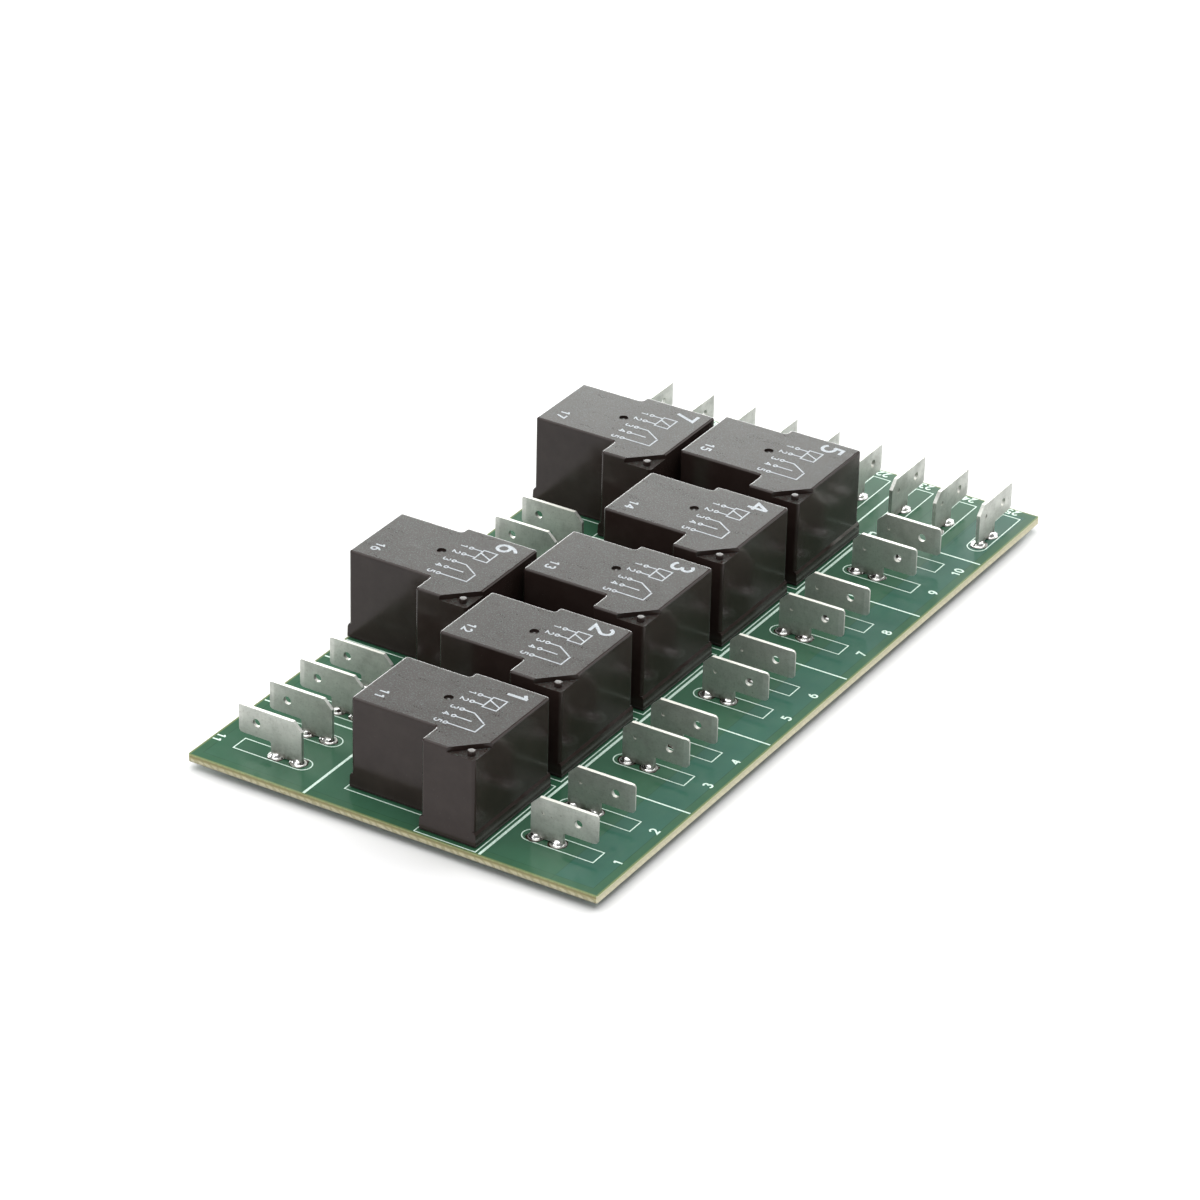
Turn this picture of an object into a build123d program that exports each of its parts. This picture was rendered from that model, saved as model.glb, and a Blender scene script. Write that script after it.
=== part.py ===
from build123d import *
import os

# Relay module board: seven sealed power relays and twenty-five flat blade terminals soldered to
# one printed circuit board. Millimetres, +Z up. The origin is the middle of the board's plan, at
# the height of the relay pins' tips, which the board stands on.

# Board. Its length and width follow from what stands on it, as worked out below.
board_thickness = 1.6
board_corner_radius = 0.5
pin_reach = 1.9
hole_clearance = 0.1

# Relay housing
relay_length = 32.5
coil_end_width = 19.7
near_step = 5.65
near_step_at = 20.15
far_step = 2.1
far_step_at = 15.15
relay_height = 20.8
relay_standoff = 0.3
cover_wall = 1.1
cover_roof = 1.3
cover_corner_radius = 0.7
cover_edge_radius = 0.5
foot_flare = 0.45
foot_draft = 0.1
foot_height = 2.8
foot_shoulder = 0.6

# Vent corner of the housing: a ledge across the corner and on it the nib that is cut off to vent
vent_ledge_leg = 6.5
vent_ledge_drop = 1.1
vent_setback = 1.9
nib_radius = 0.8
nib_drop = 0.1
nib_edge_radius = 0.15
gate_mark_radius = 1.0
gate_mark_depth = 0.6
gate_mark_x = 16.0
gate_mark_y = 10.55

# Relay base
base_thickness = 2.2
base_fit = 0.05
base_foot_radius = 0.8
base_foot_inset = 2.6

# Relay magnet: yoke, core, bobbin, winding and armature
yoke_thickness = 1.5
yoke_width = 10.0
yoke_back_gap = 0.5
core_radius = 2.8
pole_radius = 4.4
pole_thickness = 1.0
pole_gap = 0.4
coil_clearance = 0.5
flange_size = 13.0
flange_thickness = 1.0
flange_ear_reach = 1.4
bobbin_tube_wall = 0.9
winding_radius = 6.0
winding_fit = 0.05
armature_thickness = 1.4
armature_overhang = 0.5

# Relay contacts
spring_thickness = 0.3
spring_width = 6.0
spring_back_length = 5.0
contact_radius = 1.5
contact_height = 0.8
contact_gap = 1.0
contact_roof_gap = 1.2
contact_setback = 7.0
strip_thickness = 0.8
strip_wall_gap = 1.0
arm_width = 7.4
post_width = 3.4

# Relay pins
flat_pin_width = 1.6
coil_pin_radius = 0.5
coil_pin_spacing = 11.7
coil_pin_tail = 1.4
common_plate_width = 4.0
common_plate_at = 5.4

# Blade terminal
blade_length = 15.3
blade_tab_width = 6.35
blade_thickness = 0.8
blade_tab_gap = 3.1
blade_body_length = 7.4
blade_body_lift = 0.3
blade_shoulder_width = 2.1
blade_leg_width = 1.3
blade_leg_pitch = 5.08
blade_leg_setback = 1.05
blade_leg_reach = 1.5
blade_leg_taper = 0.3
blade_end_chamfer = 2.0
blade_root_radius = 0.5
blade_tip_radius = 0.7
blade_tip_bevel = 1.2
blade_tip_bevel_depth = 0.2
blade_hole_radius = 0.9
blade_hole_setback = 4.4
blade_mark_radius = 0.5
blade_mark_depth = 0.2
blade_mark_at = 2.9

# Layout from the left edge to the right edge: side column, main column and right blades
side_edge_gap = 0.05
column_gap = 1.55
right_blade_gap = 6.65
right_tip_inset = 7.2

# Layout of the main column from the near edge to the far edge, with the far blades behind it
main_column_count = 5
near_edge_gap = 1.6
relay_gap = 4.05
far_blade_gap = 9.85
far_tip_inset = 4.6

# Layout along the left edge: blades, a relay, two blades and a relay
left_tip_inset = 6.25
left_pitch = 10.77
left_near_count = 4
left_mid_count = 2
left_first_inset = 9.2
left_relay_gap = 9.59
left_mid_gap = 25.8
left_last_relay_gap = 8.33

# Right blades beside each relay, from the relay's near side, and the far row's ends
right_upper_offset = 18.6
right_lower_offset = 7.7
right_first_offset = 4.85
far_count = 9
far_end_inset = 5.02

# Levels, worked out from the sizes above
board_top = pin_reach + board_thickness
base_top = relay_standoff + base_thickness
bobbin_foot = base_top + yoke_thickness
closed_arm_z = relay_height - cover_roof - contact_roof_gap - strip_thickness
spring_top = closed_arm_z - 2 * contact_height
spring_foot = spring_top - spring_thickness
open_arm_z = spring_foot - 2 * contact_height - contact_gap - strip_thickness
yoke_top = spring_foot - armature_thickness
pole_top = yoke_top - pole_gap
bobbin_top = pole_top - pole_thickness
pin_foot = -(board_thickness + pin_reach)

# Places on the board, from its left and near edges to a housing's coil end and near side
relay_width = near_step + coil_end_width + far_step
relay_pitch = relay_width + relay_gap
side_column_x = side_edge_gap + foot_flare
main_column_x = side_column_x + relay_length + column_gap
main_column_y = near_edge_gap + near_step
right_blade_x = main_column_x + relay_length + right_blade_gap
board_width = right_blade_x + blade_length + right_tip_inset
far_blade_y = near_edge_gap + main_column_count * relay_pitch - relay_gap + far_blade_gap
board_length = far_blade_y + blade_length + far_tip_inset
far_pitch = (board_width - 2 * far_end_inset) / (far_count - 1)
left_near_end = left_first_inset + (left_near_count - 1) * left_pitch
first_side_y = left_near_end + left_relay_gap + near_step
left_mid_start = first_side_y + coil_end_width + far_step + left_mid_gap
left_mid_end = left_mid_start + (left_mid_count - 1) * left_pitch
last_side_y = left_mid_end + left_last_relay_gap + near_step

# Places in a relay's own plan, from its coil end and near side
coil_middle_y = coil_end_width / 2
yoke_back_x = cover_wall + yoke_back_gap
coil_x = yoke_back_x + yoke_thickness + coil_clearance + flange_size / 2
contact_x = relay_length - contact_setback
post_back_x = relay_length - cover_wall - strip_wall_gap
post_x = post_back_x - strip_thickness / 2
coil_pin_x = coil_x + flange_size / 2 + flange_ear_reach / 2
vent_x = relay_length - vent_setback
vent_y = vent_setback - near_step
yoke_edge_y = coil_middle_y - yoke_width / 2
common_pin_y = yoke_edge_y - strip_thickness / 2
common_pin_x = common_plate_at + common_plate_width / 2
open_post_y = coil_middle_y - arm_width / 2 - post_width / 2 + contact_radius
closed_post_y = coil_middle_y + arm_width / 2 + post_width / 2 - contact_radius

housing_corners = [
    (0, 0),
    (near_step_at, 0),
    (near_step_at, -near_step),
    (relay_length, -near_step),
    (relay_length, coil_end_width + far_step),
    (far_step_at, coil_end_width + far_step),
    (far_step_at, coil_end_width),
    (0, coil_end_width),
]

# The end faces that have a lip along the foot: place along X, start, end and side it faces
lip_faces = [
    (0, 0, coil_end_width, -1),
    (near_step_at, -near_step, 0, -1),
    (far_step_at, coil_end_width, coil_end_width + far_step, -1),
    (relay_length, -near_step, coil_end_width + far_step, 1),
]

blade_leg_places = [blade_leg_setback, blade_leg_setback + blade_leg_pitch]
coil_pin_places = [(coil_pin_x, coil_middle_y + side * coil_pin_spacing / 2) for side in (-1, 1)]
flat_pin_places = [(common_pin_x, common_pin_y), (post_x, open_post_y), (post_x, closed_post_y)]
# A flat pin is wide along X where its plate stands along X, and wide along Y at the contact posts
flat_pin_sizes = [
    (flat_pin_width, strip_thickness),
    (strip_thickness, flat_pin_width),
    (strip_thickness, flat_pin_width),
]


def relay_seats():
    """Places on the board's top, one at each relay's coil end and near side."""
    left = -board_width / 2
    near = -board_length / 2
    places = [
        (left + main_column_x, near + main_column_y + row * relay_pitch)
        for row in range(main_column_count)
    ]
    places += [(left + side_column_x, near + y) for y in (first_side_y, last_side_y)]
    return [Location((x, y, board_top)) for x, y in places]


def blade_seats():
    """Name and place of each blade: its solder end on the board's top, turned to its tab's way."""
    left = -board_width / 2
    near = -board_length / 2
    first_y = near + main_column_y
    ys = [first_y + right_first_offset]
    ys += [first_y + right_lower_offset + row * relay_pitch for row in range(1, main_column_count)]
    ys += [first_y + right_upper_offset + row * relay_pitch for row in range(main_column_count)]
    seats = {}
    for number, y in enumerate(sorted(ys), start=1):
        seats[f"blade_right_{number}"] = Location((left + right_blade_x, y, board_top))
    left_x = left + left_tip_inset + blade_length
    ys = [near + left_first_inset + step * left_pitch for step in range(left_near_count)]
    ys += [near + left_mid_start + step * left_pitch for step in range(left_mid_count)]
    for number, y in enumerate(ys, start=1):
        seats[f"blade_left_{number}"] = Location((left_x, y, board_top), (0, 0, 180))
    for number in range(1, far_count + 1):
        x = left + far_end_inset + (number - 1) * far_pitch
        seats[f"blade_far_{number}"] = Location((x, near + far_blade_y, board_top), (0, 0, 90))
    return seats


def placed(places, seats):
    """Plan places of the same points under each of the seats."""
    spots = [(seat * Location((x, y, 0))).position for seat in seats for x, y in places]
    return [(spot.X, spot.Y) for spot in spots]


def make_board():
    """Glass-epoxy board with a drilled hole for each pin and leg."""
    leg_hole = Vector(blade_leg_width, blade_thickness).length / 2 + hole_clearance
    flat_hole = Vector(flat_pin_width, strip_thickness).length / 2 + hole_clearance
    coil_hole = coil_pin_radius + hole_clearance
    legs = placed([(x, 0) for x in blade_leg_places], blade_seats().values())
    flats = placed(flat_pin_places, relay_seats())
    coils = placed(coil_pin_places, relay_seats())
    with BuildPart() as board:
        with BuildSketch(Plane.XY.offset(pin_reach)) as plan:
            Rectangle(board_width, board_length)
            fillet(plan.vertices(), board_corner_radius)
            for places, radius in ((legs, leg_hole), (flats, flat_hole), (coils, coil_hole)):
                with Locations(*places):
                    Circle(radius, mode=Mode.SUBTRACT)
        extrude(amount=board_thickness)
    return board.part


def make_cover():
    """Moulded housing: stepped plan, lipped foot, rounded roof edge and sunken vent corner."""
    ledge = relay_height - vent_ledge_drop
    lip_top = foot_height + foot_shoulder
    corner = (relay_length, -near_step)
    inset = cover_wall / 2
    with BuildPart() as cover:
        with BuildSketch(Plane.XY.offset(relay_standoff)) as walls:
            with BuildLine():
                Polyline(*housing_corners, close=True)
            make_face()
            fillet(walls.vertices(), cover_corner_radius)
        extrude(amount=relay_height - relay_standoff)
        fillet(cover.faces().sort_by(Axis.Z)[-1].edges(), cover_edge_radius)
        for face_x, start_y, end_y, side in lip_faces:
            with BuildSketch(Plane.XZ.offset(-end_y)):
                with BuildLine():
                    Polyline(
                        (face_x - side * cover_corner_radius, relay_standoff),
                        (face_x + side * foot_flare, relay_standoff),
                        (face_x + side * (foot_flare - foot_draft), foot_height),
                        (face_x, lip_top),
                        (face_x - side * cover_corner_radius, lip_top),
                        close=True,
                    )
                make_face()
            extrude(amount=end_y - start_y)
        with BuildSketch(Plane.XY.offset(relay_standoff)):
            with BuildLine():
                Polyline(*housing_corners, close=True)
            make_face()
            offset(amount=-cover_wall, kind=Kind.INTERSECTION)
        extrude(amount=relay_height - cover_roof - relay_standoff, mode=Mode.SUBTRACT)
        # Thickened corner under the ledge
        with BuildSketch(Plane.XY.offset(ledge - cover_roof)):
            with BuildLine():
                Polyline(
                    (corner[0] - inset, corner[1] + inset),
                    (corner[0] - inset, corner[1] + vent_ledge_leg + 2 * cover_wall),
                    (corner[0] - vent_ledge_leg - 2 * cover_wall, corner[1] + inset),
                    close=True,
                )
            make_face()
        extrude(amount=cover_roof)
        # Ledge across the corner
        with BuildSketch(Plane.XY.offset(ledge)):
            with BuildLine():
                Polyline(
                    (corner[0] + foot_flare, corner[1] - foot_flare),
                    (corner[0] + foot_flare, corner[1] + vent_ledge_leg + foot_flare),
                    (corner[0] - vent_ledge_leg - foot_flare, corner[1] - foot_flare),
                    close=True,
                )
            make_face()
        extrude(amount=2 * vent_ledge_drop, mode=Mode.SUBTRACT)
        with BuildSketch(Plane.XY.offset(ledge)):
            with Locations((vent_x, vent_y)):
                Circle(nib_radius)
        nib = extrude(amount=vent_ledge_drop - nib_drop)
        fillet(nib.faces().sort_by(Axis.Z)[-1].edges(), nib_edge_radius)
        with BuildSketch(Plane.XY.offset(relay_height)):
            with Locations((gate_mark_x, gate_mark_y)):
                Circle(gate_mark_radius)
        extrude(amount=-gate_mark_depth, mode=Mode.SUBTRACT)
    return cover.part


def make_base():
    """Moulded base plate that closes the housing's foot, with slots for the pins and four feet."""
    margin = cover_wall + base_fit
    near = coil_middle_y - (coil_end_width / 2 - base_foot_inset)
    far = coil_middle_y + (coil_end_width / 2 - base_foot_inset)
    feet = [(x, y) for x in (base_foot_inset, relay_length - base_foot_inset) for y in (near, far)]
    with BuildPart() as base:
        with BuildSketch(Plane.XY.offset(relay_standoff)):
            with BuildLine():
                Polyline(*housing_corners, close=True)
            make_face()
            offset(amount=-margin, kind=Kind.INTERSECTION)
            with Locations(*coil_pin_places):
                Circle(coil_pin_radius + base_fit, mode=Mode.SUBTRACT)
            for place, (along_x, along_y) in zip(flat_pin_places, flat_pin_sizes):
                with Locations(place):
                    Rectangle(along_x, along_y, mode=Mode.SUBTRACT)
        extrude(amount=base_thickness)
        with BuildSketch(Plane.XY):
            with Locations(*feet):
                Circle(base_foot_radius)
        extrude(amount=relay_standoff)
    return base.part


def make_coil_pins():
    """Two round pins from the bobbin's ears through the base and the board."""
    with BuildPart() as pins:
        with BuildSketch(Plane.XY.offset(pin_foot)):
            with Locations(*coil_pin_places):
                Circle(coil_pin_radius)
        extrude(amount=bobbin_foot + flange_thickness + coil_pin_tail - pin_foot)
    return pins.part


def make_common_terminal():
    """Flat pin of the moving contact, welded beside the yoke's foot."""
    middle = Plane.XZ.offset(-common_pin_y)
    with BuildPart() as terminal:
        with BuildSketch(middle):
            with BuildLine():
                Polyline(
                    (common_pin_x - flat_pin_width / 2, pin_foot),
                    (common_pin_x + flat_pin_width / 2, pin_foot),
                    (common_pin_x + flat_pin_width / 2, base_top),
                    (common_plate_at + common_plate_width, base_top),
                    (common_plate_at + common_plate_width, bobbin_foot),
                    (common_plate_at, bobbin_foot),
                    (common_plate_at, base_top),
                    (common_pin_x - flat_pin_width / 2, base_top),
                    close=True,
                )
            make_face()
        extrude(amount=strip_thickness / 2, both=True)
    return terminal.part


def make_contact_terminal(post_y, arm_z, button_side):
    """Strip bent over at the top, with its contact button, its post and its flat pin below."""
    lean = 1 if post_y > coil_middle_y else -1
    arm_middle_y = coil_middle_y + lean * (arm_width / 2 - contact_radius)
    arm_front_x = contact_x - contact_radius
    button_foot = arm_z + strip_thickness / 2 * (1 + button_side)
    with BuildPart() as terminal:
        with BuildSketch(Plane.XY.offset(arm_z)):
            with Locations(((arm_front_x + post_back_x) / 2, arm_middle_y)):
                Rectangle(post_back_x - arm_front_x, arm_width)
        extrude(amount=strip_thickness)
        with BuildSketch(Plane.XY.offset(base_top)):
            with Locations((post_x, post_y)):
                Rectangle(strip_thickness, post_width)
        extrude(amount=arm_z - base_top)
        with BuildSketch(Plane.XY.offset(pin_foot)):
            with Locations((post_x, post_y)):
                Rectangle(strip_thickness, flat_pin_width)
        extrude(amount=base_top - pin_foot)
        with BuildSketch(Plane.XY.offset(button_foot)):
            with Locations((contact_x, coil_middle_y)):
                Circle(contact_radius)
        extrude(amount=button_side * contact_height)
    return terminal.part


def make_relay_terminals():
    """All five pins of one relay, as separate solids."""
    pieces = make_coil_pins().solids()
    pieces += make_common_terminal().solids()
    pieces += make_contact_terminal(open_post_y, open_arm_z, 1).solids()
    pieces += make_contact_terminal(closed_post_y, closed_arm_z, -1).solids()
    return Compound(children=pieces)


def make_yoke():
    """Bent steel yoke: foot under the coil, riveted to the core, and back behind it."""
    middle = Plane.XZ.offset(-coil_middle_y)
    foot_end = coil_x + pole_radius
    with BuildPart() as yoke:
        with BuildSketch(middle):
            with BuildLine():
                Polyline(
                    (yoke_back_x, base_top),
                    (foot_end, base_top),
                    (foot_end, bobbin_foot),
                    (yoke_back_x + yoke_thickness, bobbin_foot),
                    (yoke_back_x + yoke_thickness, yoke_top),
                    (yoke_back_x, yoke_top),
                    close=True,
                )
            make_face()
        extrude(amount=yoke_width / 2, both=True)
        with Locations((coil_x, coil_middle_y, bobbin_foot)):
            Hole(core_radius + winding_fit, depth=yoke_thickness)
    return yoke.part


def make_core():
    """Round core with its pole face above the bobbin."""
    with BuildPart() as core:
        with BuildSketch(Plane.XY.offset(base_top)):
            with Locations((coil_x, coil_middle_y)):
                Circle(core_radius)
        extrude(amount=bobbin_top - base_top)
        with BuildSketch(Plane.XY.offset(bobbin_top)):
            with Locations((coil_x, coil_middle_y)):
                Circle(pole_radius)
        extrude(amount=pole_thickness)
    return core.part


def make_bobbin():
    """Square-flanged bobbin, its lower flange drawn out into ears that hold the coil pins."""
    tube_inner = core_radius + winding_fit
    tube_outer = tube_inner + bobbin_tube_wall
    ear_width = coil_pin_spacing / 2 + 2 * coil_pin_radius
    with BuildPart() as bobbin:
        with BuildSketch(Plane.XY.offset(bobbin_foot)):
            with Locations((coil_x, coil_middle_y)):
                Rectangle(flange_size, flange_size)
            with Locations((coil_pin_x, coil_middle_y)):
                Rectangle(flange_ear_reach, 2 * ear_width)
            with Locations(*coil_pin_places):
                Circle(coil_pin_radius + base_fit, mode=Mode.SUBTRACT)
        extrude(amount=flange_thickness)
        with BuildSketch(Plane.XY.offset(bobbin_top - flange_thickness)):
            with Locations((coil_x, coil_middle_y)):
                Rectangle(flange_size, flange_size)
        extrude(amount=flange_thickness)
        with BuildSketch(Plane.XY.offset(bobbin_foot)):
            with Locations((coil_x, coil_middle_y)):
                Circle(tube_outer)
        extrude(amount=bobbin_top - bobbin_foot)
        with Locations((coil_x, coil_middle_y, bobbin_top)):
            Hole(tube_inner, depth=bobbin_top - bobbin_foot)
    return bobbin.part


def make_winding():
    """Copper winding between the bobbin's flanges."""
    inner = core_radius + bobbin_tube_wall + 2 * winding_fit
    with BuildPart() as winding:
        with BuildSketch(Plane.XY.offset(bobbin_foot + flange_thickness)):
            with Locations((coil_x, coil_middle_y)):
                Circle(winding_radius)
                Circle(inner, mode=Mode.SUBTRACT)
        extrude(amount=bobbin_top - bobbin_foot - 2 * flange_thickness)
    return winding.part


def make_armature():
    """Flat steel armature that lies on the yoke's top edge, over the pole face."""
    reach = coil_x + pole_radius + armature_overhang - yoke_back_x
    with BuildPart() as armature:
        with BuildSketch(Plane.XY.offset(yoke_top)):
            with Locations((yoke_back_x + reach / 2, coil_middle_y)):
                Rectangle(reach, yoke_width)
        extrude(amount=armature_thickness)
    return armature.part


def make_contact_spring():
    """Bent spring on the armature, from the yoke's back to the moving contact."""
    middle = Plane.XZ.offset(-coil_middle_y)
    back = yoke_back_x - spring_thickness
    tip = contact_x + contact_radius
    with BuildPart() as spring:
        with BuildSketch(middle):
            with BuildLine():
                Polyline(
                    (back, yoke_top - spring_back_length),
                    (yoke_back_x, yoke_top - spring_back_length),
                    (yoke_back_x, spring_foot),
                    (tip, spring_foot),
                    (tip, spring_top),
                    (back, spring_top),
                    close=True,
                )
            make_face()
        extrude(amount=spring_width / 2, both=True)
        with BuildSketch(Plane.XY.offset(spring_foot - contact_height)):
            with Locations((contact_x, coil_middle_y)):
                Circle(contact_radius)
        extrude(amount=2 * contact_height + spring_thickness)
    return spring.part


def make_blade():
    """Stamped flag terminal: two legs with shoulders, a body and a horizontal tab with a hole."""
    tab_middle = blade_tab_gap + blade_tab_width / 2
    tab_top = blade_tab_gap + blade_tab_width
    leg_foot = -(board_thickness + blade_leg_reach)
    half_thickness = blade_thickness / 2
    with BuildPart() as blade:
        with BuildSketch(Plane.XZ) as outline:
            with BuildLine():
                Polyline(
                    (0, blade_body_lift),
                    (blade_body_length, blade_body_lift),
                    (blade_body_length, blade_tab_gap),
                    (blade_length, blade_tab_gap),
                    (blade_length, tab_top),
                    (0, tab_top),
                    close=True,
                )
            make_face()
            fillet(outline.vertices().group_by(Axis.X)[-1], blade_tip_radius)
            root = outline.vertices().sort_by_distance((blade_body_length, blade_tab_gap))[0]
            fillet(root, blade_root_radius)
            chamfer(outline.vertices().sort_by_distance((0, tab_top))[0], blade_end_chamfer)
            for reach in blade_leg_places:
                with BuildLine():
                    Polyline(
                        (reach - blade_shoulder_width / 2, blade_body_lift),
                        (reach - blade_shoulder_width / 2, 0),
                        (reach - blade_leg_width / 2, 0),
                        (reach - blade_leg_width / 2, leg_foot + blade_leg_taper),
                        (reach - blade_leg_width / 2 + blade_leg_taper, leg_foot),
                        (reach + blade_leg_width / 2 - blade_leg_taper, leg_foot),
                        (reach + blade_leg_width / 2, leg_foot + blade_leg_taper),
                        (reach + blade_leg_width / 2, 0),
                        (reach + blade_shoulder_width / 2, 0),
                        (reach + blade_shoulder_width / 2, blade_body_lift),
                        close=True,
                    )
                make_face()
            with Locations((blade_length - blade_hole_setback, tab_middle)):
                Circle(blade_hole_radius, mode=Mode.SUBTRACT)
        extrude(amount=half_thickness, both=True)
        # Coined bevel on both faces of the tip
        with BuildSketch(Plane.XY.offset(blade_tab_gap)):
            with BuildLine():
                Polyline(
                    (blade_length, half_thickness),
                    (blade_length, half_thickness - blade_tip_bevel_depth),
                    (blade_length - blade_tip_bevel, half_thickness),
                    close=True,
                )
            make_face()
            mirror(about=Plane.XZ)
        extrude(amount=blade_tab_width, mode=Mode.SUBTRACT)
        with BuildSketch(Plane.XZ.offset(half_thickness)):
            with Locations((blade_mark_at, tab_middle)):
                Circle(blade_mark_radius)
        extrude(amount=-blade_mark_depth, mode=Mode.SUBTRACT)
    return blade.part


def write_copies(piece, seats, name):
    """Write a piece's solids, placed at each of the seats, as one labelled file."""
    copies = [solid.moved(seat) for seat in seats for solid in piece.solids()]
    group = Compound(children=copies)
    group.label = name
    export_step(group, f"parts/{name}.step")


os.makedirs("parts", exist_ok=True)

board = make_board()
board.label = "circuit_board"
export_step(board, "parts/circuit_board.step")

# Pieces that show, one node for each relay
relay_pieces = {"cover": make_cover(), "base": make_base(), "pins": make_relay_terminals()}
for number, seat in enumerate(relay_seats(), start=1):
    for kind, piece in relay_pieces.items():
        write_copies(piece, [seat], f"relay_{number}_{kind}")

# Inner works, one node for each kind of piece, with a separate solid in each relay
inner_pieces = {
    "relay_yokes": make_yoke(),
    "relay_cores": make_core(),
    "relay_bobbins": make_bobbin(),
    "relay_windings": make_winding(),
    "relay_armatures": make_armature(),
    "relay_contact_springs": make_contact_spring(),
}
for name, piece in inner_pieces.items():
    write_copies(piece, relay_seats(), name)

blade = make_blade()
for name, seat in blade_seats().items():
    write_copies(blade, [seat], name)
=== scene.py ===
import math

import bpy
from mathutils import Matrix, Vector, noise


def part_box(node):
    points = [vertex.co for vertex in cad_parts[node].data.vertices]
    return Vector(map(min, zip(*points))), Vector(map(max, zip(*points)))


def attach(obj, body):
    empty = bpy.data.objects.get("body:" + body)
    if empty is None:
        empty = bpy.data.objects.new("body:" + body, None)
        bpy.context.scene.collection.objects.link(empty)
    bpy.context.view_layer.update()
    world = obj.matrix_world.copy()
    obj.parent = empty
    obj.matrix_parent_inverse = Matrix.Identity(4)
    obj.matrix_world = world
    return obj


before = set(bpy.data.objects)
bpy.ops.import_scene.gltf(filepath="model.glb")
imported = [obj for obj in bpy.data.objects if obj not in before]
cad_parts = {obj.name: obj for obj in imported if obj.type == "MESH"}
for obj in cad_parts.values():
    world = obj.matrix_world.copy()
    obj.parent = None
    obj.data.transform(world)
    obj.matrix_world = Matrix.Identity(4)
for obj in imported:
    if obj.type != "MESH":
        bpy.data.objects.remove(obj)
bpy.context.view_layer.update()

# Sizes are written in millimetres and turned into metres when a mesh is made
MM = 0.001
board_low, board_high = (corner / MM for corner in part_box("circuit_board"))
board_top = board_high.z
board_foot = board_low.z
underside = board_foot - board_top
ink_height = 0.03
ink_step = 0.002
copper_height = 0.05

# A relay's plan, from its coil end and near side, and what stands in it
relay_numbers = range(1, 8)
column_relays = range(1, 6)
cover_low, cover_high = (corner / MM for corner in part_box("relay_1_cover"))
foot_flare = 0.45
near_step = 5.65
near_step_at = 20.15
far_step = 2.1
far_step_at = 15.15
relay_top = cover_high.z
roof_height = relay_top - board_top
relay_length = cover_high.x - cover_low.x - 2 * foot_flare
far_side = cover_high.y - cover_low.y - near_step
housing_corners = [
    (0, 0),
    (near_step_at, 0),
    (near_step_at, -near_step),
    (relay_length, -near_step),
    (relay_length, far_side),
    (far_step_at, far_side),
    (far_step_at, far_side - far_step),
    (0, far_side - far_step),
]
coil_pins = [(17.3, 4.0), (17.3, 15.7)]
common_pin = (7.4, 4.45)
contact_pins = [(30.0, 5.95), (30.0, 13.75)]
vent_nib = (30.6, -3.75)
gate_mark = (16.0, 10.55)

# Blades
right_blades = [f"blade_right_{n}" for n in range(1, 11)]
left_blades = [f"blade_left_{n}" for n in range(1, 7)]
far_blades = [f"blade_far_{n}" for n in range(1, 10)]
blade_names = right_blades + left_blades + far_blades
blade_legs = [1.05, 6.13]
far_middles = [sum(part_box(name), Vector()).x / 2 / MM for name in far_blades[:2]]
far_pitch = far_middles[1] - far_middles[0]


# Camera at the photograph's viewing angle, aimed at a place on the board's top
azimuth = math.radians(30.9308)
elevation = math.radians(29.2207)
roll = math.radians(1.3593)
aim = Vector((-12.447, 7.085, board_top))
distance = 1058.247
camera_back = Vector((
    math.sin(azimuth) * math.cos(elevation),
    -math.cos(azimuth) * math.cos(elevation),
    math.sin(elevation),
))
level_right = Vector((math.cos(azimuth), math.sin(azimuth), 0))
level_up = camera_back.cross(level_right)
camera_right = math.cos(roll) * level_right + math.sin(roll) * level_up
camera_up = camera_back.cross(camera_right)
camera_data = bpy.data.cameras.new("camera")
camera_data.sensor_width = 36
camera_data.lens = 149.917
camera_data.clip_start = 0.05
camera_data.clip_end = 50
camera = bpy.data.objects.new("camera", camera_data)
bpy.context.scene.collection.objects.link(camera)
turn = Matrix((camera_right, camera_up, camera_back)).transposed().to_4x4()
camera.matrix_world = Matrix.Translation((aim + distance * camera_back) * MM) @ turn
bpy.context.scene.camera = camera


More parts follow.
